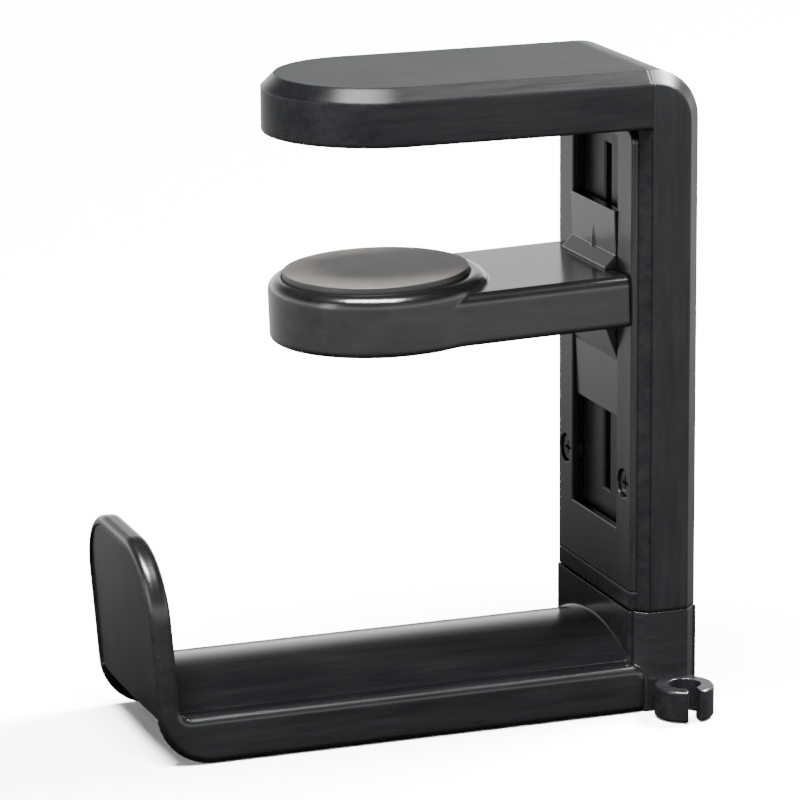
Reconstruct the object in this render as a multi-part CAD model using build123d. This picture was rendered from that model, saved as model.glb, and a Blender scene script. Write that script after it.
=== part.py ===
from build123d import *
from math import cos, radians, sin, tan
import os

# Under-desk headphone hook with a sprung clamp.
# Working frame (mm): X = 0 is the column's front face, the arms point to -X,
# Y = 0 is the middle plane and Z = 0 is the foot of the hook's flanges.
# The stored parts are moved so that the origin is the middle of the upper
# pad's lower face, where the desk top touches.

# ---- driving dimensions ---------------------------------------------------
WIDTH = 42.0                    # column and upper jaw
HALF = WIDTH / 2
HEIGHT = 125.0
JAW_UNDER = 114.1               # underside of the upper jaw
JAW_X = -45.1                   # centre of the upper jaw's round end
PAD_X = -44.5                   # centre of both pads
PAD_R = 17.8
PAD_PROUD = 0.7                 # upper pad below its jaw
BEVEL = 2.5                     # outer bevel of the column and the upper jaw
SEAM_X = 3.25                   # joint between the front and the rear shell
BACK_X = 13.4
BACK_RADIUS = 9.5               # corner between the jaw's top and the back
FOOT_Z = 20.0                   # joint between the column and the hook
WALL = 1.8

PANEL_T = 1.2
PANEL_HALF = 18.8
PANEL_Z = (23.75, 113.7)
WINDOW_HALF = 11.36
WINDOW_Z = (34.7, 111.5)
SCREW_Y = 14.73
PANEL_SCREW_Z = 44.4
SHELL_SCREW_Z = 103.0

GUIDE_X = (2.7, 4.2)            # guide plate behind the window
GUIDE_Z = (33.2, 113.0)
GUIDE_SCREWS = [(y, z) for y in (-16.2, 16.2) for z in (36.5, 96.0)]
SLOT_HALF = 1.6
SLOT_Z = (39.5, 107.8)

JAW_Z = 80.0                    # height of the moving jaw's own frame
DROOP = 1.74                    # degrees, the slack that the moving jaw hangs in
ARM_HALF = 18.8
ARM_Z = (-4.05, 5.75)           # in the moving jaw's own frame, as are the next
ARM_ROUND = 2.0
NECK_RADIUS = 10.0              # blend between the arm and its round head
HEAD_X = -44.1
HEAD_R = 21.0
HEAD_TOP = 7.7
ARM_PAD_TOP = 8.95
CARRIAGE_HALF = 10.95
CARRIAGE_X = (0.05, 1.85)
CARRIAGE_Z = (-23.6, 16.9)
KEEL_HALF = 1.3                 # blade of the carriage that runs in the slot
KEEL_Z = (-20.3, 15.6)
KEEPER_X = (4.8, 6.3)
KEEPER_HALF = 3.5
KEEPER_SCREWS = (11.0, -9.0)

SPRING_X = 8.4
SPRING_Y = 6.5
SPRING_R = 2.1                  # mean coil radius
SPRING_WIRE = 0.4               # wire radius
SPRING_TURNS = 18
PIN_R = 1.0
UPPER_PIN_Z = 110.2
LOWER_PIN_Z = -17.5             # in the moving jaw's own frame
LOWER_PIN_X = (SPRING_X + LOWER_PIN_Z * sin(radians(DROOP))) / cos(radians(DROOP))

SWIVEL_X = 6.7
BOLT_R = 2.0
SWIVEL_GAP = 0.2                # hook below the column

HOOK_HALF = 21.3
FLANGE_INNER = 19.1
FLANGE_Z = 9.3
FLANGE_END = 2.5
FLANGE_RADIUS = 10.5            # outer corner between the flanges and the lip
INNER_RADIUS = 2.0              # inner corner between the flanges and the lip
END_RADIUS = 2.6                # upper corner of the flanges' end on the base
RIM_OUTSIDE, RIM_INSIDE = 1.5, 1.6
DECK_Z = (5.8, 7.8)
CROWN_HALF = 18.6
CROWN_EDGE = 9.7
CROWN_TOP = 14.3
COVER_T = 2.0
LIP_FOOT = (-95.2, 9.0)         # outer face of the lip at its lower edge
LIP_LEAN = 4.4                  # degrees
LIP_T = 4.3
LIP_TOP = 41.7
LIP_CORNER = 14.0
LIP_COVER_T = 1.3
LIP_RIM = 1.7                   # width of the rim round the lip's cover
LIP_LEDGE = 1.2                 # width of the ledge that the cover rests on
LIP_WALL = 1.5
COVER_CROWN = 0.5               # how far the cover falls away at its sides

CLIP_X, CLIP_Y = 8.44, -25.6
CLIP_R = 5.75
CLIP_BORE = 3.2
CLIP_Z = (0.3, 6.4)
CLIP_SLOT = 1.2                 # half its width

ORIGIN = Vector(PAD_X, 0, JAW_UNDER - PAD_PROUD)


# ---- helpers --------------------------------------------------------------
def block(x, y, z):
    """Box between two limits on each axis."""
    size = [b - a for a, b in (x, y, z)]
    middle = [(a + b) / 2 for a, b in (x, y, z)]
    return Pos(*middle) * Box(*size)


def both(half):
    return (-half, half)


def post(x, y, z, radius):
    """Upright cylinder between two heights."""
    return Pos(x, y, (z[0] + z[1]) / 2) * Cylinder(radius, z[1] - z[0])


def rod_x(x, y, z, radius):
    """Cylinder along X between two limits."""
    return Pos((x[0] + x[1]) / 2, y, z) * Rot(0, 90, 0) * Cylinder(radius, x[1] - x[0])


def rod_y(x, y, z, radius):
    """Cylinder along Y between two limits."""
    return Pos(x, (y[0] + y[1]) / 2, z) * Rot(90, 0, 0) * Cylinder(radius, y[1] - y[0])


def side_prism(points, y):
    """Outline in X and Z, extruded along Y between two limits."""
    face = make_face(Polyline(*[(px, 0, pz) for px, pz in points], close=True))
    solid = extrude(face, y[1] - y[0], dir=(0, 1, 0))
    return Pos(0, y[0], 0) * solid


def plan_prism(points, z):
    """Outline in X and Y, extruded upwards between two limits."""
    face = make_face(Polyline(*[(px, py, 0) for px, py in points], close=True))
    return Pos(0, 0, z[0]) * extrude(face, z[1] - z[0], dir=(0, 0, 1))


def stadium(x_round, radius, x_end, z):
    """Flat bar along X with one round end."""
    bar = block((x_round, x_end), both(radius), z)
    return post(x_round, 0, z, radius) + bar


def edges_at(solid, test):
    """Edges whose middle passes a test."""
    return ShapeList([e for e in solid.edges() if test(e @ 0.5, e)])


def hang(solid):
    """Move a solid from the moving jaw's frame into the working frame."""
    return Pos(0, 0, JAW_Z) * Rot(0, -DROOP, 0) * solid


def x_screw(x_head, y, z, length, head_r=2.4, head_h=1.2, shank_r=1.3, way=1):
    """Cross-recess screw along X; its head's outer face is at x_head."""
    head = rod_x(sorted((x_head, x_head + way * head_h)), y, z, head_r)
    shank = rod_x(sorted((x_head + way * head_h / 2, x_head + way * length)), y, z, shank_r)
    depth = sorted((x_head - way * 0.1, x_head + way * head_h * 0.6))
    cross = block(depth, (y - 1.35, y + 1.35), (z - 0.32, z + 0.32))
    cross += block(depth, (y - 0.32, y + 0.32), (z - 1.35, z + 1.35))
    return head + shank - cross


def z_screw(x, y, z_head, length, head_r=2.4, head_h=1.2, shank_r=1.2):
    """Cross-recess screw that points upwards; its head's lower face is at z_head."""
    head = post(x, y, (z_head, z_head + head_h), head_r)
    shank = post(x, y, (z_head + head_h / 2, z_head + length), shank_r)
    depth = (z_head - 0.1, z_head + head_h * 0.6)
    cross = block((x - 1.35, x + 1.35), (y - 0.32, y + 0.32), depth)
    cross += block((x - 0.32, x + 0.32), (y - 1.35, y + 1.35), depth)
    return head + shank - cross


# ---- column and upper jaw -------------------------------------------------
UNDERPLATE_SCREWS = [(-58.5, 0.0), (-14.0, 10.0), (-14.0, -10.0)]
UNDERPLATE_T = 1.8
JAW_CAVITY_R = HALF - 2.2
JAW_CAVITY_TOP = HEIGHT - 2.2
JAW_CAVITY_END = -1.0
CHAMFER_SLOPE = 0.95            # how fast the front corners widen towards the seam
CORNER_HALF = HALF - (SEAM_X - PANEL_T) * CHAMFER_SLOPE


def front_shell():
    jaw = stadium(JAW_X, HALF, SEAM_X, (JAW_UNDER, HEIGHT))
    rim = edges_at(jaw, lambda p, e: p.Z > HEIGHT - 0.01 and p.X < SEAM_X - 0.01)
    jaw = chamfer(rim, BEVEL)
    rim = edges_at(jaw, lambda p, e: p.Z < JAW_UNDER + 0.01 and p.X < SEAM_X - 0.01)
    jaw = fillet(rim, 0.5)
    cavity = stadium(JAW_X, JAW_CAVITY_R, JAW_CAVITY_END, (JAW_UNDER - 1, JAW_CAVITY_TOP))
    jaw -= cavity
    # Ribs and screw bosses under the jaw's roof; the under plate rests on them.
    plate_top = JAW_UNDER + UNDERPLATE_T
    for y in (-9.0, 9.0):
        jaw += block((JAW_X - 15, JAW_CAVITY_END), (y - 0.7, y + 0.7), (plate_top, JAW_CAVITY_TOP))
    for x in (-50.0, -32.0):
        jaw += block((x - 0.7, x + 0.7), both(JAW_CAVITY_R - 0.8), (plate_top + 2, JAW_CAVITY_TOP))
    for x, y in UNDERPLATE_SCREWS:
        jaw += post(x, y, (plate_top, JAW_CAVITY_TOP + 0.5), 2.6)
        jaw -= post(x, y, (plate_top - 0.1, JAW_CAVITY_TOP - 1), 1.2)

    corners = [(PANEL_T, -CORNER_HALF), (SEAM_X, -HALF), (SEAM_X, HALF), (PANEL_T, CORNER_HALF)]
    column = plan_prism(corners, (FOOT_Z, JAW_UNDER + 1))
    column -= block((PANEL_T - 1, GUIDE_X[0]), both(WINDOW_HALF + 0.5),
                    (WINDOW_Z[0] - 0.6, WINDOW_Z[1] + 0.6))
    column -= block((GUIDE_X[0], SEAM_X + 1), both(HALF - 2.0), (FOOT_Z - 1, JAW_UNDER + 2))
    # Wall below the panel, with room for the swivel's nut behind it.
    strip = block((0, PANEL_T + 0.1), both(PANEL_HALF), (FOOT_Z, PANEL_Z[0] - 0.2))
    strip = fillet(edges_at(strip, lambda p, e: p.X < 0.01 and abs(p.Y) > PANEL_HALF - 0.01), 0.8)
    column += strip
    column -= block((1.9, GUIDE_X[0] + 0.1), both(5.2), (FOOT_Z + 3.0, 33.0))
    shell = jaw + column
    for y, z in GUIDE_SCREWS:
        shell -= rod_x((1.6, 3), y, z, 1.05)
    for y in (-SCREW_Y, SCREW_Y):
        shell -= rod_x((0, 3), y, PANEL_SCREW_Z, 3.5)
        shell -= rod_x((0, 3), y, SHELL_SCREW_Z, 1.5)
        shell -= rod_x((0, PANEL_T + 1.0), y, SHELL_SCREW_Z, 2.5)
    return shell


def rear_profile(inset):
    """Side outline of the rear shell, moved inwards by inset."""
    back, top = BACK_X - inset, HEIGHT - inset
    radius = BACK_RADIUS - inset
    low = FOOT_Z - (1 if inset else 0)
    front = SEAM_X - (1 if inset else 0)
    half_turn = sin(radians(45))
    middle = (back - radius + radius * half_turn, 0, top - radius + radius * half_turn)
    path = Polyline((front, 0, top), (front, 0, low), (back, 0, low), (back, 0, top - radius))
    path += ThreePointArc((back, 0, top - radius), middle, (back - radius, 0, top))
    path += Line((back - radius, 0, top), (front, 0, top))
    return make_face(path)


def rear_shell():
    shell = Pos(0, -HALF, 0) * extrude(rear_profile(0), WIDTH, dir=(0, 1, 0))
    rim = edges_at(shell, lambda p, e: abs(p.Y) > HALF - 0.01
                   and (p.X > BACK_X - 0.01 or p.Z > HEIGHT - BACK_RADIUS + 0.1)
                   and p.X > SEAM_X + 0.01)
    shell = chamfer(rim, BEVEL)
    inner_half = HALF - WALL
    cavity = Pos(0, -inner_half, 0) * extrude(rear_profile(WALL), 2 * inner_half, dir=(0, 1, 0))
    rim = edges_at(cavity, lambda p, e: abs(p.Y) > inner_half - 0.01
                   and (p.X > BACK_X - WALL - 0.01 or p.Z > HEIGHT - BACK_RADIUS + 0.1)
                   and p.X > SEAM_X + 0.01)
    shell -= chamfer(rim, 1.8)
    for y in (-SCREW_Y, SCREW_Y):
        for z in (PANEL_SCREW_Z, SHELL_SCREW_Z):
            shell += rod_x((GUIDE_X[1] + 0.2, BACK_X - WALL + 0.5), y, z, 2.8)
            shell -= rod_x((GUIDE_X[1], BACK_X - WALL - 0.8), y, z, 1.3)
    return shell


def front_panel():
    panel = block((0, PANEL_T), both(PANEL_HALF), PANEL_Z)
    corners = edges_at(panel, lambda p, e: abs(p.Y) > PANEL_HALF - 0.01 and p.Z > PANEL_Z[1] - 0.01)
    panel = fillet(corners, 2.7)
    rim = edges_at(panel, lambda p, e: p.X < 0.01 and p.Z > PANEL_Z[0] + 0.01)
    panel = fillet(rim, 0.8)
    for y in (-SCREW_Y, SCREW_Y):
        panel += rod_x((PANEL_T - 0.2, 2.4), y, PANEL_SCREW_Z, 3.4)
        panel -= rod_x((-1, 1.7), y, PANEL_SCREW_Z, 2.85)
        panel -= rod_x((-1, 3), y, PANEL_SCREW_Z, 1.6)
    panel -= block((-1, 3), both(WINDOW_HALF), WINDOW_Z)
    rim = edges_at(panel, lambda p, e: p.X < 0.01 and e.geom_type == GeomType.LINE
                   and abs(p.Y) < WINDOW_HALF + 0.01
                   and WINDOW_Z[0] - 0.01 < p.Z < WINDOW_Z[1] + 0.01)
    return fillet(rim, 0.25)


def panel_screws():
    return [x_screw(0.5, y, PANEL_SCREW_Z, 9.5) for y in (-SCREW_Y, SCREW_Y)]


def shell_screws():
    return [x_screw(PANEL_T + 0.05, y, SHELL_SCREW_Z, 8.5, head_h=0.9) for y in (-SCREW_Y, SCREW_Y)]


def guide_plate():
    plate = block(GUIDE_X, both(18.8), GUIDE_Z)
    plate -= block((GUIDE_X[0] - 1, GUIDE_X[1] + 1), both(SLOT_HALF), SLOT_Z)
    rim = edges_at(plate, lambda p, e: p.X < GUIDE_X[0] + 0.01 and abs(p.Y) < SLOT_HALF + 0.01
                   and SLOT_Z[0] - 0.01 < p.Z < SLOT_Z[1] + 0.01)
    plate = chamfer(rim, 0.35)
    # Block that holds the springs' upper pin.
    plate += block((GUIDE_X[1] - 0.1, SPRING_X + 1.8), both(KEEPER_HALF),
                   (SLOT_Z[1] + 0.6, GUIDE_Z[1]))
    plate -= rod_y(SPRING_X, both(5), UPPER_PIN_Z, PIN_R)
    for y in (-SCREW_Y, SCREW_Y):
        for z in (PANEL_SCREW_Z, SHELL_SCREW_Z):
            plate -= rod_x((2, 5), y, z, 1.6)
    for y, z in GUIDE_SCREWS:
        plate -= rod_x((2, 5), y, z, 1.1)
    return plate


def guide_screws():
    """Short screws that hold the guide plate to the front shell."""
    return [x_screw(GUIDE_X[1] + 1.0, y, z, 3.4, head_r=1.9, head_h=1.0, shank_r=1.0, way=-1)
            for y, z in GUIDE_SCREWS]


def jaw_under_plate():
    z = (JAW_UNDER, JAW_UNDER + UNDERPLATE_T)
    plate = stadium(JAW_X, JAW_CAVITY_R - 0.15, JAW_CAVITY_END - 0.15, z)
    plate -= post(PAD_X, 0, (JAW_UNDER - 1, JAW_UNDER + 0.9), PAD_R + 0.15)
    for x, y in UNDERPLATE_SCREWS:
        plate -= post(x, y, (JAW_UNDER - 1, JAW_UNDER + 3), 1.4)
        plate -= post(x, y, (JAW_UNDER - 1, JAW_UNDER + 1.2), 2.5)
    return plate


def under_plate_screws():
    """Two heads show behind the pad; the third lies under it."""
    return [z_screw(x, y, JAW_UNDER + (0.95 if x < -40 else 0.2), 6.5,
                    head_h=0.25 if x < -40 else 1.0) for x, y in UNDERPLATE_SCREWS]


def upper_pad():
    pad = post(PAD_X, 0, (JAW_UNDER - PAD_PROUD, JAW_UNDER + 0.9), PAD_R)
    return fillet(edges_at(pad, lambda p, e: p.Z < JAW_UNDER - PAD_PROUD + 0.01), 0.3)


def column_foot():
    """End plate of the column, with the swivel's bearing hub."""
    foot = block((GUIDE_X[0] + 0.05, BACK_X - WALL - 1.85), both(HALF - 2.1),
                 (FOOT_Z, FOOT_Z + 3.0))
    foot += block((BACK_X - WALL - 1.9, BACK_X - WALL - 0.1), both(HALF - WALL - 2.1),
                  (FOOT_Z, FOOT_Z + 3.0))
    foot += post(SWIVEL_X, 0, (FOOT_Z + 2.9, FOOT_Z + 6.0), 3.9)
    foot -= post(SWIVEL_X, 0, (FOOT_Z - 1, FOOT_Z + 7), BOLT_R + 0.06)
    return foot


# ---- moving jaw, in its own frame -----------------------------------------
ARM_END = -0.45
ARM_WALL = 2.0
ARM_COVER_SCREWS = [(-44.1, 0.0), (-16.0, 9.5), (-16.0, -9.5)]
ARM_SCREWS_Y = 6.2
ARM_SCREW_Z = 0.85
UPPER_GUSSET = [(0.06, 8.3), (-2.2, 6.2), (-2.2, ARM_Z[1]), (0.06, ARM_Z[1])]
LOWER_GUSSET = [(0.06, -12.3), (-2.95, ARM_Z[0]), (0.06, ARM_Z[0])]


def clamp_arm():
    plan = Pos((HEAD_X + ARM_END) / 2, 0) * Rectangle(ARM_END - HEAD_X, 2 * ARM_HALF)
    plan += Pos(HEAD_X, 0) * Circle(HEAD_R)
    neck = [v for v in plan.vertices() if HEAD_X + 1 < v.X < ARM_END - 1]
    plan = fillet(neck, NECK_RADIUS)
    bar = Pos(0, 0, ARM_Z[0]) * extrude(plan, ARM_Z[1] - ARM_Z[0])
    bar = fillet(edges_at(bar, lambda p, e: p.X < ARM_END - 0.01 and p.Z > ARM_Z[1] - 0.01), ARM_ROUND)
    bar = fillet(edges_at(bar, lambda p, e: p.X < ARM_END - 0.01 and p.Z < ARM_Z[0] + 0.01), 1.1)
    head = post(HEAD_X, 0, (ARM_Z[1] - 4.5, HEAD_TOP), HEAD_R)
    head = fillet(edges_at(head, lambda p, e: p.Z > HEAD_TOP - 0.01), 2.4)
    arm = bar + head
    arm -= post(HEAD_X, 0, (ARM_Z[0] - 1, ARM_Z[1] - ARM_WALL), HEAD_R - ARM_WALL)
    arm -= block((HEAD_X, ARM_END - 7.0), both(ARM_HALF - ARM_WALL), (ARM_Z[0] - 1, ARM_Z[1] - ARM_WALL))
    arm -= post(PAD_X, 0, (HEAD_TOP - 0.8, HEAD_TOP + 1), PAD_R + 0.25)
    # Ribs, cover bosses and the root's spigot against the carriage.
    roof = ARM_Z[1] - ARM_WALL
    shelf = ARM_Z[0] + 1.7
    for y in (-9.5, 9.5):
        arm += block((HEAD_X, ARM_END - 6.9), (y - 0.7, y + 0.7), (shelf, roof + 0.1))
    for x in (-36.0, -25.0):
        arm += block((x - 0.7, x + 0.7), both(ARM_HALF - ARM_WALL + 0.1), (shelf + 1.5, roof + 0.1))
    for x, y in ARM_COVER_SCREWS:
        arm += post(x, y, (shelf, roof + 0.2), 2.5)
        arm -= post(x, y, (shelf - 0.1, roof - 0.6), 1.0)
    arm += block((ARM_END - 0.1, CARRIAGE_X[0]), both(10.5), (ARM_Z[0] + 0.3, ARM_Z[1] - 0.3))
    for y in (-ARM_SCREWS_Y, ARM_SCREWS_Y):
        arm -= rod_x((ARM_END - 6.5, 1), y, ARM_SCREW_Z, 1.15)
    # Room for the carriage's two gussets, which clasp the root.
    arm -= side_prism(UPPER_GUSSET, both(CARRIAGE_HALF + 0.05))
    arm -= side_prism(LOWER_GUSSET, both(CARRIAGE_HALF + 0.05))
    return arm


def arm_cover():
    """Plate that closes the arm's underside."""
    z = (ARM_Z[0] + 0.1, ARM_Z[0] + 1.7)
    cover = post(HEAD_X, 0, z, HEAD_R - ARM_WALL - 0.15)
    cover += block((HEAD_X, ARM_END - 7.15), both(ARM_HALF - ARM_WALL - 0.15), z)
    for x, y in ARM_COVER_SCREWS:
        cover -= post(x, y, (z[0] - 1, z[1] + 1), 1.2)
        cover -= post(x, y, (z[0] - 1, z[0] + 1.0), 2.2)
    return cover


def arm_cover_screws():
    return [z_screw(x, y, ARM_Z[0] + 0.2, 5.0, head_r=2.1, head_h=0.9, shank_r=1.0)
            for x, y in ARM_COVER_SCREWS]


def arm_screws():
    """Join the carriage to the arm's root, from behind."""
    return [x_screw(CARRIAGE_X[1] - 0.05, y, ARM_SCREW_Z, 7.5, head_r=2.1, head_h=0.9,
                    shank_r=1.15, way=-1) for y in (-ARM_SCREWS_Y, ARM_SCREWS_Y)]


def lower_pad():
    pad = post(PAD_X, 0, (HEAD_TOP - 0.8, ARM_PAD_TOP), PAD_R)
    return fillet(edges_at(pad, lambda p, e: p.Z > ARM_PAD_TOP - 0.01), 0.25)


def slide_carriage():
    """Plate in the column's window, with gussets for the arm and a keel in the slot."""
    plate = block(CARRIAGE_X, both(CARRIAGE_HALF), CARRIAGE_Z)
    plate += side_prism(UPPER_GUSSET, both(CARRIAGE_HALF))
    plate += side_prism(LOWER_GUSSET, both(CARRIAGE_HALF))
    rib = make_face(Polyline((0.1, -1.5, 8.0), (-0.5, 0, 8.0), (0.1, 1.5, 8.0), close=True))
    tip = make_face(Polyline((0.1, -0.4, 12.5), (0.0, 0, 12.5), (0.1, 0.4, 12.5), close=True))
    plate += loft([rib, tip])
    plate += block((CARRIAGE_X[1] - 0.1, KEEPER_X[0]), both(KEEL_HALF), KEEL_Z)
    for y in (-ARM_SCREWS_Y, ARM_SCREWS_Y):
        plate -= rod_x((-1, 3), y, ARM_SCREW_Z, 1.25)
        plate -= rod_x((CARRIAGE_X[1] - 0.95, 3), y, ARM_SCREW_Z, 2.2)
    for z in KEEPER_SCREWS:
        plate -= rod_x((2.2, 5), 0, z, 0.75)
    return plate


def keeper_plate():
    """Plate behind the guide plate; it keeps the carriage in and holds the springs' lower pin."""
    plate = block(KEEPER_X, both(KEEPER_HALF), KEEL_Z)
    plate += block((KEEPER_X[1] - 0.1, LOWER_PIN_X + 1.8), both(KEEPER_HALF),
                   (KEEL_Z[0], LOWER_PIN_Z + 2.3))
    plate -= rod_y(LOWER_PIN_X, both(5), LOWER_PIN_Z, PIN_R)
    for z in KEEPER_SCREWS:
        plate -= rod_x((4, 7), 0, z, 0.85)
    return plate


def keeper_screws():
    return [x_screw(KEEPER_X[1] + 1.0, 0, z, 4.6, head_r=1.7, head_h=1.0, shank_r=0.75, way=-1)
            for z in KEEPER_SCREWS]


# ---- springs and their pins -----------------------------------------------
PIN_HALF = 9.4


def spring_pin(x, z):
    pin = rod_y(x, both(PIN_HALF), z, PIN_R)
    return chamfer(pin.edges().filter_by(GeomType.CIRCLE), 0.2)


def tension_spring(y):
    """Coil with a ring at each end that loops round its pin."""
    low = JAW_Z + LOWER_PIN_Z * cos(radians(DROOP)) + LOWER_PIN_X * sin(radians(DROOP))
    ring_r = PIN_R + SPRING_WIRE + 0.15
    coil_low, coil_high = low + ring_r + 0.6, UPPER_PIN_Z - ring_r - 0.6
    length = coil_high - coil_low
    path = Helix(pitch=length / SPRING_TURNS, height=length, radius=SPRING_R)
    section = Plane(origin=path @ 0, z_dir=path % 0) * Circle(SPRING_WIRE)
    coil = Pos(SPRING_X, y, coil_low) * sweep(section, path=path, is_frenet=True)
    solid = coil
    for z_end, z_pin in ((coil_low, low), (coil_high, UPPER_PIN_Z)):
        ring = Pos(SPRING_X, y, z_pin) * Rot(90, 0, 0) * Torus(ring_r, SPRING_WIRE)
        reach = sorted((z_end, z_pin + (ring_r if z_end > z_pin else -ring_r)))
        solid += ring
        solid += block((SPRING_X - 0.3, SPRING_X + SPRING_R + 0.1), (y - 0.3, y + 0.3),
                       (reach[0] - 0.3, reach[1] + 0.3))
    return solid


# ---- swivel ---------------------------------------------------------------
HUB_TOP = FOOT_Z + 6.0


def pivot_bolt():
    bolt = post(SWIVEL_X, 0, (7.2, 31.4), BOLT_R)
    bolt += post(SWIVEL_X, 0, (6.0, 9.0), 3.6)
    bolt -= Pos(SWIVEL_X, 0, 6.0) * extrude(RegularPolygon(1.7, 6), 1.6)
    tip = edges_at(bolt, lambda p, e: p.Z > 31.39)
    return chamfer(tip, 0.4)


def ring(z, outer, inner):
    return post(SWIVEL_X, 0, z, outer) - post(SWIVEL_X, 0, (z[0] - 1, z[1] + 1), inner)


def glide_washer():
    return ring((19.2, FOOT_Z - 0.03), 4.7, BOLT_R)


def upper_washer():
    return ring((HUB_TOP + 0.03, HUB_TOP + 0.6), 3.8, BOLT_R)


def spring_washer():
    """Cupped washer that gives the swivel its drag."""
    low, high = HUB_TOP + 0.6, HUB_TOP + 1.5
    outline = [(BOLT_R, high - 0.5), (3.6, low), (3.6, low + 0.5), (BOLT_R + 0.4, high), (BOLT_R, high)]
    face = make_face(Polyline(*[(px, 0, pz) for px, pz in outline], close=True))
    return Pos(SWIVEL_X, 0, 0) * revolve(face, Axis.Z, 360)


def pivot_nut():
    nut = Pos(SWIVEL_X, 0, HUB_TOP + 1.5) * extrude(RegularPolygon(4.0, 6), 3.2)
    return nut - post(SWIVEL_X, 0, (HUB_TOP, HUB_TOP + 6), BOLT_R)


# ---- hook -----------------------------------------------------------------
def lip_outer(z):
    return LIP_FOOT[0] - (z - LIP_FOOT[1]) * tan(radians(LIP_LEAN))


def lip_inner(z):
    return lip_outer(z) + LIP_T


LIP_BOTTOM = LIP_FOOT[1]
FRONT_X = -0.3                  # front face of the hook's upright
BASE_TOP = FOOT_Z - SWIVEL_GAP
COVER_SCREWS = [(-74.0, 0.0), (-40.0, 0.0), (-8.0, 12.0), (-8.0, -12.0)]
REAR_COVER_X = (12.9, 13.75)


def end_view(inset):
    """Round-cornered outline of the lip seen along X, drawn in by inset."""
    half, top = HOOK_HALF - inset, LIP_TOP - inset
    slab = block((-110, 20), both(half), (-1, top))
    upper = edges_at(slab, lambda p, e: abs(p.Y) > half - 0.01 and p.Z > top - 0.01)
    return fillet(upper, LIP_CORNER - inset)


def lip_slab(out, thickness, low, high):
    """Leaning slab; out is how far its outer face lies inside the lip's outer face."""
    points = [(lip_outer(low) + out, low), (lip_outer(high) + out, high),
              (lip_outer(high) + out + thickness, high), (lip_outer(low) + out + thickness, low)]
    return side_prism(points, both(HOOK_HALF + 1))


def at_corner(x, z):
    """Test for edges along Y through one corner of a side outline."""
    return lambda p, e: abs(p.X - x) < 0.01 and abs(p.Z - z) < 0.01


def hook_body():
    """Flanges, deck and lip as one rounded L, before it is hollowed out."""
    corner = (lip_inner(FLANGE_Z), FLANGE_Z)
    foot = (lip_outer(0), 0)
    end = (FLANGE_END, FLANGE_Z)
    body = side_prism([(FLANGE_END, 0), end, corner, (lip_inner(LIP_TOP), LIP_TOP),
                       (lip_outer(LIP_TOP), LIP_TOP), foot], both(HOOK_HALF))
    for place, radius in ((foot, FLANGE_RADIUS), (corner, INNER_RADIUS), (end, END_RADIUS)):
        body = fillet(edges_at(body, at_corner(*place)), radius)
    body = body & end_view(0)
    outside = edges_at(body, lambda p, e: abs(p.X - lip_outer(p.Z)) < 0.05 and p.Z > FLANGE_RADIUS)
    body = fillet(outside, RIM_OUTSIDE)
    inside = edges_at(body, lambda p, e: abs(p.X - lip_inner(p.Z)) < 0.05
                      and p.Z > FLANGE_Z + INNER_RADIUS)
    return fillet(inside, RIM_INSIDE)


def hook_frame():
    # Base box under the column, open below.
    half = HALF
    outline = [(0.6, -19.2), (2.6, -half), (REAR_COVER_X[0] - 1.9, -half), (REAR_COVER_X[0], -19.1),
               (REAR_COVER_X[0], 19.1), (REAR_COVER_X[0] - 1.9, half), (2.6, half), (0.6, 19.2)]
    base = plan_prism(outline, (0, BASE_TOP))
    base -= block((3.0, 11.4), both(half - 1.9), (-1, BASE_TOP - 2.0))
    base -= block((0, 1.35), both(CROWN_HALF + 0.05), (DECK_Z[1], BASE_TOP + 1))
    base += post(SWIVEL_X, 0, (9.0, BASE_TOP - 1), 4.25)
    base -= post(SWIVEL_X, 0, (8, BASE_TOP + 1), BOLT_R)
    base -= post(SWIVEL_X, 0, (19.2, BASE_TOP + 1), 4.8)
    # Flanges, deck and lip, hollow above and below the deck.
    body = hook_body()
    high = FLANGE_Z + 6
    trough = [(lip_inner(DECK_Z[1]), DECK_Z[1]), (lip_inner(high), high), (FLANGE_END + 1, high),
              (FLANGE_END + 1, DECK_Z[1])]
    body -= side_prism(trough, both(FLANGE_INNER))
    body -= block((-100, FLANGE_END + 1), both(FLANGE_INNER), (-1, DECK_Z[0]))
    body -= block((-100, lip_inner(DECK_Z[0]) - LIP_WALL), both(FLANGE_INNER), (-1, LIP_BOTTOM))
    # Seat and ledge for the lip's cover, and the space behind it.
    seat = lip_slab(-1, LIP_COVER_T + 1, LIP_BOTTOM, LIP_TOP + 1)
    body -= seat & end_view(LIP_RIM)
    space = lip_slab(-1, LIP_T - LIP_WALL + 1, DECK_Z[0] - 1, LIP_TOP + 1)
    body -= space & end_view(LIP_RIM + LIP_LEDGE)
    frame = base + body
    frame -= block((3.0, 11.4), both(half - 1.9), (-1, BASE_TOP - 2.0)) - post(
        SWIVEL_X, 0, (9.0, BASE_TOP - 1), 4.25)
    # Ribs under the deck and pilots for the cover's screws.
    for x in (-62.0, -24.0):
        frame += block((x - 0.8, x + 0.8), both(FLANGE_INNER + 0.1), (4.3, DECK_Z[0] + 0.1))
    for x, y in COVER_SCREWS:
        frame -= post(x, y, (4, 9), 1.4)
    # Sockets for the cable clip's tongue and the rear cover's tongues.
    frame -= block((6.0, 11.0), (-HALF - 1, -HALF + 2.5), (1.4, 5.2))
    for y in (-12.0, 12.0):
        frame -= block((11.0, REAR_COVER_X[0] + 1), (y - 2.1, y + 2.1), (11.9, 14.1))
    return frame


def crown_face(top, edge, half, low):
    """Cross-section of the rest: an arch on straight sides."""
    rise = top - edge
    radius = (half ** 2 + rise ** 2) / (2 * rise)
    arch = Pos(0, 0, top - radius) * Rot(0, 90, 0) * Cylinder(radius, 400)
    return arch & block((-120, 20), both(half), (low, top + 1))


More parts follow.
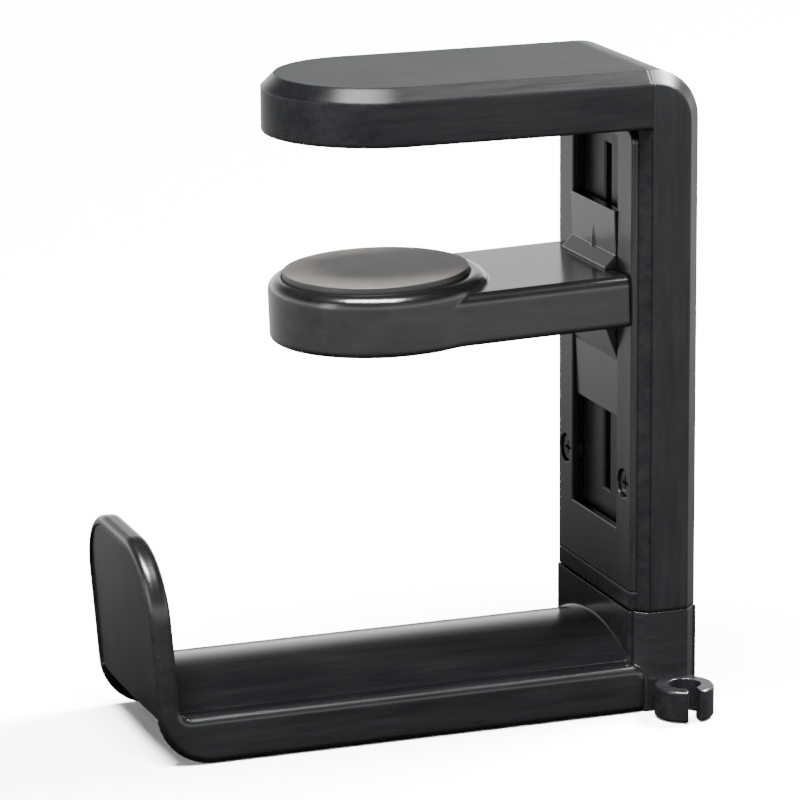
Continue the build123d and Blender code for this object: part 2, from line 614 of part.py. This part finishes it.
def platform_cover():
    """Crowned rest for the headband, turning up in front of the base."""
    start = lip_outer(CROWN_EDGE) + LIP_T + 0.15
    deck = DECK_Z[1] + 0.05
    rest = crown_face(CROWN_TOP, CROWN_EDGE, CROWN_HALF, deck)
    rest = rest & block((start, FRONT_X + 1.0), both(HALF), (0, 30))
    cover = rest + block((FRONT_X, 1.3), both(CROWN_HALF), (deck, BASE_TOP - 0.1))
    corner = edges_at(cover, lambda p, e: abs(p.X - FRONT_X) < 0.02 and e.length > CROWN_HALF
                      and CROWN_EDGE < p.Z < CROWN_TOP + 0.1)
    cover = fillet(corner, 0.7)
    sides = edges_at(cover, lambda p, e: p.X < FRONT_X + 0.01 and abs(p.Y) > CROWN_HALF - 0.01
                     and p.Z > CROWN_EDGE + 2.5 and abs((e % 0.5).Z) > 0.9)
    cover = chamfer(sides, 0.4)        # this runs on along both eaves
    hollow = crown_face(CROWN_TOP - COVER_T, CROWN_EDGE - 1.2, CROWN_HALF - COVER_T, deck - 1)
    cover -= hollow & block((start + COVER_T, FRONT_X - 0.6), both(HALF), (0, 30))
    for x, y in COVER_SCREWS:
        cover += post(x, y, (deck, CROWN_TOP - COVER_T - (1.6 if y else 0) + 0.5), 2.5)
        cover -= post(x, y, (deck - 1, CROWN_TOP - COVER_T - (1.6 if y else 0.8)), 1.2)
    return cover


def cover_screws():
    return [z_screw(x, y, DECK_Z[0] - 1.25, 6.0) for x, y in COVER_SCREWS]


def lip_cover():
    """Outer cover of the lip, sunk into its rim and slightly crowned."""
    cover = lip_slab(0, LIP_COVER_T, LIP_BOTTOM, LIP_TOP + 1) & end_view(LIP_RIM + 0.12)
    radius = (HOOK_HALF - LIP_RIM) ** 2 / (2 * COVER_CROWN)
    crown = Pos(LIP_FOOT[0], 0, LIP_FOOT[1]) * Rot(0, -LIP_LEAN, 0)
    cover = cover & crown * Pos(radius, 0, 15) * Cylinder(radius, 80)
    # Locating ribs in the space behind it.
    for y in (-10.0, 10.0):
        rib = lip_slab(LIP_COVER_T - 0.1, 1.3, LIP_BOTTOM + 3, LIP_TOP - 8)
        cover += rib & block((-105, -80), (y - 0.8, y + 0.8), (0, 60))
    return cover


def base_rear_cover():
    cover = block(REAR_COVER_X, both(18.9), (0.8, BASE_TOP))
    rim = edges_at(cover, lambda p, e: p.X > REAR_COVER_X[1] - 0.01)
    cover = fillet(rim, 0.4)
    for y in (-12.0, 12.0):
        cover += block((11.3, REAR_COVER_X[0] + 0.1), (y - 2, y + 2), (12.0, 14.0))
    return cover


def cable_clip():
    """C-shaped ring for the headphones' cable, snapped into the base's side."""
    clip = post(CLIP_X, CLIP_Y, CLIP_Z, CLIP_R)
    clip = fillet(clip.edges().filter_by(GeomType.CIRCLE), 0.5)
    clip += block((CLIP_X - 3.7, CLIP_X + 3.7), (CLIP_Y, -HALF), CLIP_Z)
    clip -= block((CLIP_X - 9, CLIP_X + 9), (-HALF - 0.02, 0), (-1, 8))
    clip -= post(CLIP_X, CLIP_Y, (CLIP_Z[0] - 1, CLIP_Z[1] + 1), CLIP_BORE)
    slot = block((CLIP_X - CLIP_SLOT, CLIP_X + CLIP_SLOT), (CLIP_Y - 10, CLIP_Y), (-1, 8))
    # The slot widens outwards round its two tips.
    tip_y = CLIP_Y - (CLIP_R + CLIP_BORE) / 2 - 0.5
    for side in (-1, 1):
        slot += plan_prism([(CLIP_X, tip_y), (CLIP_X + side * CLIP_SLOT, tip_y),
                            (CLIP_X + side * (CLIP_SLOT + 0.7), CLIP_Y - CLIP_R),
                            (CLIP_X, CLIP_Y - CLIP_R)], (-1, 8))
    clip -= slot
    clip += block((6.1, 10.9), (-HALF - 0.3, -HALF + 2.4), (1.5, 5.1))
    return clip


# ---- write every node -----------------------------------------------------
def main():
    nodes = {
        "front_shell": front_shell(),
        "rear_shell": rear_shell(),
        "front_panel": front_panel(),
        "panel_screws": panel_screws(),
        "shell_screws": shell_screws(),
        "guide_plate": guide_plate(),
        "guide_screws": guide_screws(),
        "jaw_under_plate": jaw_under_plate(),
        "under_plate_screws": under_plate_screws(),
        "upper_pad": upper_pad(),
        "column_foot": column_foot(),
        "upper_spring_pin": spring_pin(SPRING_X, UPPER_PIN_Z),
        "clamp_arm": hang(clamp_arm()),
        "arm_cover": hang(arm_cover()),
        "arm_cover_screws": [hang(s) for s in arm_cover_screws()],
        "arm_screws": [hang(s) for s in arm_screws()],
        "lower_pad": hang(lower_pad()),
        "slide_carriage": hang(slide_carriage()),
        "keeper_plate": hang(keeper_plate()),
        "keeper_screws": [hang(s) for s in keeper_screws()],
        "lower_spring_pin": hang(spring_pin(LOWER_PIN_X, LOWER_PIN_Z)),
        "near_spring": tension_spring(-SPRING_Y),
        "far_spring": tension_spring(SPRING_Y),
        "pivot_bolt": pivot_bolt(),
        "glide_washer": glide_washer(),
        "upper_washer": upper_washer(),
        "spring_washer": spring_washer(),
        "pivot_nut": pivot_nut(),
        "hook_frame": hook_frame(),
        "platform_cover": platform_cover(),
        "cover_screws": cover_screws(),
        "lip_cover": lip_cover(),
        "base_rear_cover": base_rear_cover(),
        "cable_clip": cable_clip(),
    }
    os.makedirs("parts", exist_ok=True)
    for name, shape in nodes.items():
        solids = shape if isinstance(shape, list) else shape.solids()
        whole = Compound(children=[Pos(*(-ORIGIN)) * s for s in solids])
        export_step(whole, f"parts/{name}.step")


main()
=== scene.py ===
"""Looks for the headphone hook: materials, foam pads, floor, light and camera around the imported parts."""
import math

import bmesh
import bpy
from mathutils import Matrix, Vector


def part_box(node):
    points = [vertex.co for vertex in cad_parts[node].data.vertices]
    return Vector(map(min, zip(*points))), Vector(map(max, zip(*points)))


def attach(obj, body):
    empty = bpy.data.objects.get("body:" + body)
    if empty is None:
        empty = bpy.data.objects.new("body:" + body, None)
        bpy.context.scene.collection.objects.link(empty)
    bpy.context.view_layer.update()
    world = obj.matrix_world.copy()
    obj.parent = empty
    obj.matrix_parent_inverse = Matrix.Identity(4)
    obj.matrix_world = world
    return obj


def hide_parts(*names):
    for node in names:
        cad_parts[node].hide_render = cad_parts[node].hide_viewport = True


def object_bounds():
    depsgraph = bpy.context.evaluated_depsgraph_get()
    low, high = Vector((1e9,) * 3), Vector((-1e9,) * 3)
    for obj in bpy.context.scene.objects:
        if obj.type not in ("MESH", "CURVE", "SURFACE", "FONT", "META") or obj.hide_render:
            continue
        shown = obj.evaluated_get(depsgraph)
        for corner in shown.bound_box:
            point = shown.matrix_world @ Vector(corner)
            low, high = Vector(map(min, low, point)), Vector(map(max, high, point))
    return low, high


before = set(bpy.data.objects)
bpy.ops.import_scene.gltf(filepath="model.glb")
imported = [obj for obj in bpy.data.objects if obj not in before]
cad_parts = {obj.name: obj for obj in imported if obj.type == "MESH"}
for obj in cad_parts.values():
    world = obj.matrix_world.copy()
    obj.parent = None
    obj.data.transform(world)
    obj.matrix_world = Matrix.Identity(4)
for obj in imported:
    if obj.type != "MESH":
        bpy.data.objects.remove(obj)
cad_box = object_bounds()
MM = 0.001
scene = bpy.context.scene

# ---------------------------------------------------------------- camera
CAMERA_TARGET = Vector((4.47, 0, -52.31)) * MM
CAMERA_AZIMUTH = math.radians(-19.62)
CAMERA_ELEVATION = math.radians(13.99)
CAMERA_ROLL = math.radians(-0.45)
CAMERA_DISTANCE = 838.55 * MM
CAMERA_LENS = 197.48
CAMERA_SENSOR = 36.0


def make_camera():
    back = Vector((
        math.sin(CAMERA_AZIMUTH) * math.cos(CAMERA_ELEVATION),
        -math.cos(CAMERA_AZIMUTH) * math.cos(CAMERA_ELEVATION),
        math.sin(CAMERA_ELEVATION),
    ))
    right = Vector((math.cos(CAMERA_AZIMUTH), math.sin(CAMERA_AZIMUTH), 0))
    up = back.cross(right)
    rolled_right = math.cos(CAMERA_ROLL) * right + math.sin(CAMERA_ROLL) * up
    rolled_up = math.cos(CAMERA_ROLL) * up - math.sin(CAMERA_ROLL) * right
    data = bpy.data.cameras.new("camera")
    data.lens = CAMERA_LENS
    data.sensor_width = CAMERA_SENSOR
    data.clip_start, data.clip_end = 0.05, 50
    camera = bpy.data.objects.new("camera", data)
    turn = Matrix((rolled_right, rolled_up, back)).transposed().to_4x4()
    camera.matrix_world = Matrix.Translation(CAMERA_TARGET + back * CAMERA_DISTANCE) @ turn
    scene.collection.objects.link(camera)
    scene.camera = camera


# ---------------------------------------------------------------- floor and light
FLOOR_HALF = 6.0
FLOOR_SEEN = 0.98
PAINTED_SHADE_NEAR, PAINTED_SHADE_FAR = 0.006, 0.080       # painted shade: what the floor sends back up to the hook, darkest near it where its shadow falls
PAINTED_SHADE_REACH = (60 * MM, 450 * MM)
HORIZON_GLOW, CEILING_GLOW = 3.2, 0.12
GLOW_HEIGHT = 0.5               # sine of the elevation where the horizon's glow has faded
SOFTBOXES = (                   # name, place from the hook's centre, size in metres, watts
    ("key", (1.7, 0.35, 2.0), (0.8, 0.8), 820),
    ("overhead", (-0.4, -0.55, 2.2), (1.5, 0.6), 520),
    ("left", (-1.0, -0.3, 0.15), (0.3, 0.9), 5),
)


def make_floor():
    mesh = bpy.data.meshes.new("floor")
    corners = [(sx * FLOOR_HALF, sy * FLOOR_HALF, 0) for sx, sy in ((-1, -1), (1, -1), (1, 1), (-1, 1))]
    mesh.from_pydata(corners, [], [(0, 1, 2, 3)])
    floor = bpy.data.objects.new("floor", mesh)
    floor.location = ((cad_box[0].x + cad_box[1].x) / 2, 0, cad_box[0].z)
    scene.collection.objects.link(floor)
    material = bpy.data.materials.new("pale_floor")
    material.use_nodes = True
    shader = material.node_tree.nodes["Principled BSDF"]
    nodes = material.node_tree.nodes
    links = material.node_tree.links
    place = nodes.new("ShaderNodeTexCoord")
    reach = nodes.new("ShaderNodeVectorMath")
    reach.operation = "LENGTH"
    # painted shade: rays other than camera rays see the floor dark, darkest near the hook
    painted_bounce_shade = nodes.new("ShaderNodeMapRange")
    seen = nodes.new("ShaderNodeLightPath")
    tone = nodes.new("ShaderNodeMapRange")
    for key, number in (("From Min", PAINTED_SHADE_REACH[0]), ("From Max", PAINTED_SHADE_REACH[1]),
                        ("To Min", PAINTED_SHADE_NEAR), ("To Max", PAINTED_SHADE_FAR)):
        painted_bounce_shade.inputs[key].default_value = number
    tone.inputs["To Max"].default_value = FLOOR_SEEN
    links.new(place.outputs["Object"], reach.inputs[0])
    links.new(reach.outputs["Value"], painted_bounce_shade.inputs["Value"])
    links.new(painted_bounce_shade.outputs["Result"], tone.inputs["To Min"])
    links.new(seen.outputs["Is Camera Ray"], tone.inputs["Value"])
    links.new(tone.outputs["Result"], shader.inputs["Base Color"])
    shader.inputs["Roughness"].default_value = 0.9
    shader.inputs["Specular IOR Level"].default_value = 0.0
    mesh.materials.append(material)


def softbox(name, place, aim, size, watts):
    """An area light of size (width, height), in metres, at place, that faces aim."""
    data = bpy.data.lights.new(name, "AREA")
    data.shape = "RECTANGLE"
    data.size, data.size_y = size
    data.energy = watts
    light = bpy.data.objects.new(name, data)
    place, aim = Vector(place), Vector(aim)
    turn = (aim - place).to_track_quat("-Z", "Y").to_matrix().to_4x4()
    light.matrix_world = Matrix.Translation(place) @ turn
    scene.collection.objects.link(light)


def make_lights():
    centre = (cad_box[0] + cad_box[1]) / 2
    for name, offset, size, watts in SOFTBOXES:
        softbox(name, centre + Vector(offset), centre, size, watts)
    world = bpy.data.worlds.new("studio")
    world.use_nodes = True
    tree = world.node_tree
    direction = tree.nodes.new("ShaderNodeTexCoord")
    parts = tree.nodes.new("ShaderNodeSeparateXYZ")
    fall = tree.nodes.new("ShaderNodeMapRange")
    fall.interpolation_type = "SMOOTHSTEP"
    for key, number in (("From Min", 0.0), ("From Max", GLOW_HEIGHT),
                        ("To Min", HORIZON_GLOW), ("To Max", CEILING_GLOW)):
        fall.inputs[key].default_value = number
    tree.links.new(direction.outputs["Generated"], parts.inputs["Vector"])
    tree.links.new(parts.outputs["Z"], fall.inputs["Value"])
    tree.nodes["Background"].inputs["Color"].default_value = (1, 1, 1, 1)
    tree.links.new(fall.outputs["Result"], tree.nodes["Background"].inputs["Strength"])
    scene.world = world


# ---------------------------------------------------------------- materials
class Nodes:
    """Short calls for building one material's node tree."""

    def __init__(self, name):
        self.material = bpy.data.materials.new(name)
        self.material.use_nodes = True
        self.tree = self.material.node_tree
        self.shader = self.tree.nodes["Principled BSDF"]

    def add(self, kind, **values):
        node = self.tree.nodes.new("ShaderNode" + kind)
        for key, value in values.items():
            setattr(node, key, value)
        return node

    def link(self, source, target):
        self.tree.links.new(source, target)

    def noise(self, scale, detail=4.0, stretch=(1, 1, 1), roughness=0.55):
        """Noise over the object's own coordinates, 1/scale metres to a feature, drawn out by stretch."""
        place = self.add("TexCoord")
        squeeze = self.add("Mapping")
        squeeze.inputs["Scale"].default_value = stretch
        self.link(place.outputs["Object"], squeeze.inputs["Vector"])
        noise = self.add("TexNoise")
        noise.inputs["Scale"].default_value = scale
        noise.inputs["Detail"].default_value = detail
        noise.inputs["Roughness"].default_value = roughness
        self.link(squeeze.outputs["Vector"], noise.inputs["Vector"])
        return noise.outputs["Fac"]

    def facing_up(self, low, high):
        """1 where the surface, in the object's own frame, faces up by more than high, 0 under low."""
        normal = self.add("TexCoord")
        parts = self.add("SeparateXYZ")
        self.link(normal.outputs["Normal"], parts.inputs["Vector"])
        return self.spread(parts.outputs["Z"], low, high, 0, 1)

    def spread(self, value, low, high, out_low, out_high):
        node = self.add("MapRange")
        for key, number in (("From Min", low), ("From Max", high), ("To Min", out_low), ("To Max", out_high)):
            node.inputs[key].default_value = number
        self.link(value, node.inputs["Value"])
        return node.outputs["Result"]

    def mix(self, factor, first, second):
        node = self.add("Mix", data_type="RGBA")
        self.link(factor, node.inputs["Factor"])
        for socket, colour in ((node.inputs[6], first), (node.inputs[7], second)):
            if isinstance(colour, tuple):
                socket.default_value = (*colour, 1)
            else:
                self.link(colour, socket)
        return node.outputs[2]

    def bump(self, height, strength, distance, edge=None):
        """Relief from height; edge, where given, is the radius that sharp edges shade with."""
        node = self.add("Bump")
        if edge:
            rounding = self.add("Bevel", samples=6)
            rounding.inputs["Radius"].default_value = edge
            self.link(rounding.outputs["Normal"], node.inputs["Normal"])
        node.inputs["Strength"].default_value = strength
        node.inputs["Distance"].default_value = distance
        self.link(height, node.inputs["Height"])
        self.link(node.outputs["Normal"], self.shader.inputs["Normal"])


def plastic(name, dark, light, rough, specular, streak=(1, 1, 1), streak_scale=900, streak_depth=0.008,
            matt_top=None, edge=0.3 * MM):
    """Satin moulded plastic: two near tones in soft clouds, a fine streaked grain in gloss and relief, and
    painted shade that darkens the base colour of faces turned up.

    matt_top is the roughness that flat tops take instead, and edge the radius that sharp edges shade with."""
    nodes = Nodes(name)
    clouds, brush = nodes.noise(60, 3), nodes.noise(450, 4, streak, 0.7)
    blend = nodes.add("Math", operation="ADD")
    nodes.link(nodes.spread(clouds, 0.3, 0.7, 0, 0.4), blend.inputs[0])
    nodes.link(nodes.spread(brush, 0.35, 0.65, 0, 0.6), blend.inputs[1])
    tone = nodes.mix(blend.outputs["Value"], dark, light)
    # painted shade: faces turned up take a darker copy of the same tones
    shaded_dark, shaded_light = (tuple(TOP_PAINTED_SHADE * c for c in colour) for colour in (dark, light))
    painted_top_shade = nodes.mix(blend.outputs["Value"], shaded_dark, shaded_light)
    nodes.link(nodes.mix(nodes.facing_up(0.1, 0.5), tone, painted_top_shade), nodes.shader.inputs["Base Color"])
    grain = nodes.noise(streak_scale, 5, streak)
    gloss = nodes.spread(grain, 0.3, 0.7, rough[0], rough[1])
    if matt_top:
        top = nodes.add("Mix", data_type="FLOAT")
        nodes.link(nodes.facing_up(0.97, 0.995), top.inputs["Factor"])
        nodes.link(gloss, top.inputs[2])
        top.inputs[3].default_value = matt_top
        gloss = top.outputs[0]
    nodes.link(gloss, nodes.shader.inputs["Roughness"])
    nodes.shader.inputs["Specular IOR Level"].default_value = specular
    nodes.bump(grain, streak_depth, 0.0002, edge)
    return nodes.material


def foam_rubber(name):
    """Fine-celled foam, its flat faces paler than its cut edge, where the wall takes painted shade."""
    nodes = Nodes(name)
    cells = nodes.noise(3200, 3)
    patches = nodes.noise(180, 2)
    face = nodes.mix(nodes.spread(patches, 0.35, 0.65, 0, 1), (0.038, 0.035, 0.033), (0.050, 0.046, 0.044))
    normal = nodes.add("TexCoord")
    parts = nodes.add("SeparateXYZ")
    steep = nodes.add("Math", operation="ABSOLUTE")
    nodes.link(normal.outputs["Normal"], parts.inputs["Vector"])
    nodes.link(parts.outputs["Z"], steep.inputs[0])
    # painted shade: steep faces in the pad's own frame, its wall, take a near-black tone, and its flat faces
    # the paler one
    flat = nodes.spread(steep.outputs["Value"], 0.6, 0.95, 0, 1)
    tone = nodes.mix(flat, (0.008, 0.008, 0.008), face)
    nodes.link(nodes.mix(nodes.spread(cells, 0.3, 0.45, 0.4, 0), tone, (0.02, 0.02, 0.02)),
               nodes.shader.inputs["Base Color"])
    nodes.link(nodes.spread(cells, 0.3, 0.7, 0.40, 0.52), nodes.shader.inputs["Roughness"])
    nodes.shader.inputs["Specular IOR Level"].default_value = 0.3
    nodes.bump(cells, 0.2, 0.0001)
    return nodes.material


def metal(name, dark, light, rough):
    nodes = Nodes(name)
    clouds = nodes.noise(400, 4)
    nodes.link(nodes.mix(clouds, dark, light), nodes.shader.inputs["Base Color"])
    nodes.link(nodes.spread(clouds, 0.3, 0.7, *rough), nodes.shader.inputs["Roughness"])
    nodes.shader.inputs["Metallic"].default_value = 1.0
    nodes.bump(clouds, 0.05, 0.0001)
    return nodes.material


def paint(material, *names):
    for name in names:
        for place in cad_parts[name].material_slots:
            place.material = material


ALONG_X, ALONG_Z = (0.08, 1, 1), (1, 1, 0.08)
BLACK, CHARCOAL = (0.005, 0.005, 0.0055), (0.0115, 0.0115, 0.012)
TOP_PAINTED_SHADE = 0.35                  # painted shade: how dark faces turned up are painted against the sides


def paint_all():
    shell = plastic("shell_plastic", BLACK, CHARCOAL, (0.30, 0.42), 0.3, ALONG_Z)
    rear = plastic("rear_plastic", BLACK, CHARCOAL, (0.28, 0.34), 0.2, ALONG_Z, matt_top=0.6, edge=0.9 * MM)
    front = plastic("front_plastic", BLACK, CHARCOAL, (0.20, 0.25), 0.35, ALONG_Z, streak_depth=0.003)
    jaw = plastic("jaw_plastic", BLACK, CHARCOAL, (0.26, 0.30), 0.07, ALONG_X, matt_top=0.62, edge=0.9 * MM)
    paint(jaw, "front_shell", "jaw_under_plate", "arm_cover")
    paint(rear, "rear_shell", "base_rear_cover")
    paint(front, "front_panel")
    paint(shell, "guide_plate", "column_foot", "keeper_plate")
    paint(plastic("carriage_plastic", BLACK, CHARCOAL, (0.20, 0.24), 0.8, ALONG_Z, streak_depth=0.003),
          "slide_carriage")
    paint(plastic("arm_plastic", BLACK, CHARCOAL, (0.17, 0.20), 0.45, ALONG_X, streak_depth=0.004,
                  edge=0.8 * MM), "clamp_arm")
    paint(plastic("hook_plastic", BLACK, CHARCOAL, (0.24, 0.28), 0.35, ALONG_X, streak_depth=0.003),
          "hook_frame", "cable_clip")
    paint(plastic("lip_plastic", BLACK, CHARCOAL, (0.24, 0.27), 0.22, ALONG_Z, streak_depth=0.002),
          "lip_cover")
    paint(plastic("rest_plastic", BLACK, CHARCOAL, (0.16, 0.19), 0.12, ALONG_X, streak_depth=0.004),
          "platform_cover")
    screws = metal("black_oxide", (0.05, 0.05, 0.05), (0.09, 0.09, 0.09), (0.3, 0.5))
    paint(screws, "panel_screws", "shell_screws", "guide_screws", "under_plate_screws", "arm_cover_screws",
          "arm_screws", "keeper_screws", "cover_screws")
    steel = metal("zinc_steel", (0.45, 0.45, 0.46), (0.6, 0.6, 0.6), (0.25, 0.4))
    paint(steel, "upper_spring_pin", "lower_spring_pin", "pivot_bolt", "pivot_nut", "upper_washer",
          "near_spring", "far_spring", "spring_washer")
    paint(plastic("glide_acetal", (0.7, 0.69, 0.65), (0.76, 0.75, 0.71), (0.35, 0.45), 0.5), "glide_washer")


# ---------------------------------------------------------------- pads
DROOP = math.radians(1.74)      # the moving jaw hangs by this much
PAD_EDGE = 0.25 * MM            # rounding of a pad's free rim
PAD_CROWN = 0.10 * MM           # how far the face falls from its middle to its rim
PAD_BULGE = 0.12 * MM           # how far the wall swells
PAD_SEGMENTS, PAD_RINGS, RIM_STEPS, WALL_STEPS = 144, 30, 6, 8


def pad_profile(radius, thickness):
    """Half outline (distance from the axis, height) from the middle of the free face to the glued face."""
    shoulder = radius - PAD_BULGE - PAD_EDGE
    top, bottom = thickness / 2, -thickness / 2
    points = []
    for i in range(PAD_RINGS + 1):
        out = shoulder * i / PAD_RINGS
        points.append((out, top - PAD_CROWN * (out / shoulder) ** 2))
    for i in range(1, RIM_STEPS + 1):
        turn = math.pi / 2 * i / RIM_STEPS
        drop = PAD_CROWN + PAD_EDGE * (1 - math.cos(turn))
        points.append((shoulder + PAD_EDGE * math.sin(turn), top - drop))
    wall_top = points[-1][1]
    for i in range(1, WALL_STEPS + 1):
        part = i / WALL_STEPS
        swell = PAD_BULGE * math.sin(math.pi * part)
        points.append((radius - PAD_BULGE + swell, wall_top + (bottom - wall_top) * part))
    points.append((0, bottom))
    return points


def make_pad(name, node, body, lean, foam):
    """Foam disc in place of a CAD pad, turned about Y by lean, with its free face along its own +Z."""
    low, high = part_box(node)
    across, deep = high.x - low.x, high.z - low.z
    sine, cosine = abs(math.sin(lean)), abs(math.cos(lean))
    radius = (across * cosine - deep * sine) / math.cos(2 * lean) / 2
    thickness = (deep * cosine - across * sine) / math.cos(2 * lean)
    mesh = bmesh.new()
    rings = []
    for out, height in pad_profile(radius, thickness):
        count = PAD_SEGMENTS if out > 0 else 1
        turns = [2 * math.pi * k / count for k in range(count)]
        rings.append([mesh.verts.new((out * math.cos(turn), out * math.sin(turn), height)) for turn in turns])
    for first, second in zip(rings, rings[1:]):
        for k in range(PAD_SEGMENTS):
            after = (k + 1) % PAD_SEGMENTS
            corners = [first[k % len(first)], second[k % len(second)], second[after % len(second)],
                       first[after % len(first)]]
            mesh.faces.new(list(dict.fromkeys(corners)))
    bmesh.ops.recalc_face_normals(mesh, faces=mesh.faces)
    data = bpy.data.meshes.new(name)
    mesh.to_mesh(data)
    mesh.free()
    for face in data.polygons:
        face.use_smooth = True
    data.materials.append(foam)
    pad = bpy.data.objects.new(name, data)
    pad.matrix_world = Matrix.Translation((low + high) / 2) @ Matrix.Rotation(lean, 4, "Y")
    scene.collection.objects.link(pad)
    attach(pad, body)
    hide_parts(node)


def make_pads():
    foam = foam_rubber("pad_foam")
    make_pad("upper_pad_foam", "upper_pad", "column", math.pi, foam)
    make_pad("lower_pad_foam", "lower_pad", "moving_jaw", -DROOP, foam)


make_camera()
make_floor()
make_lights()
paint_all()
make_pads()
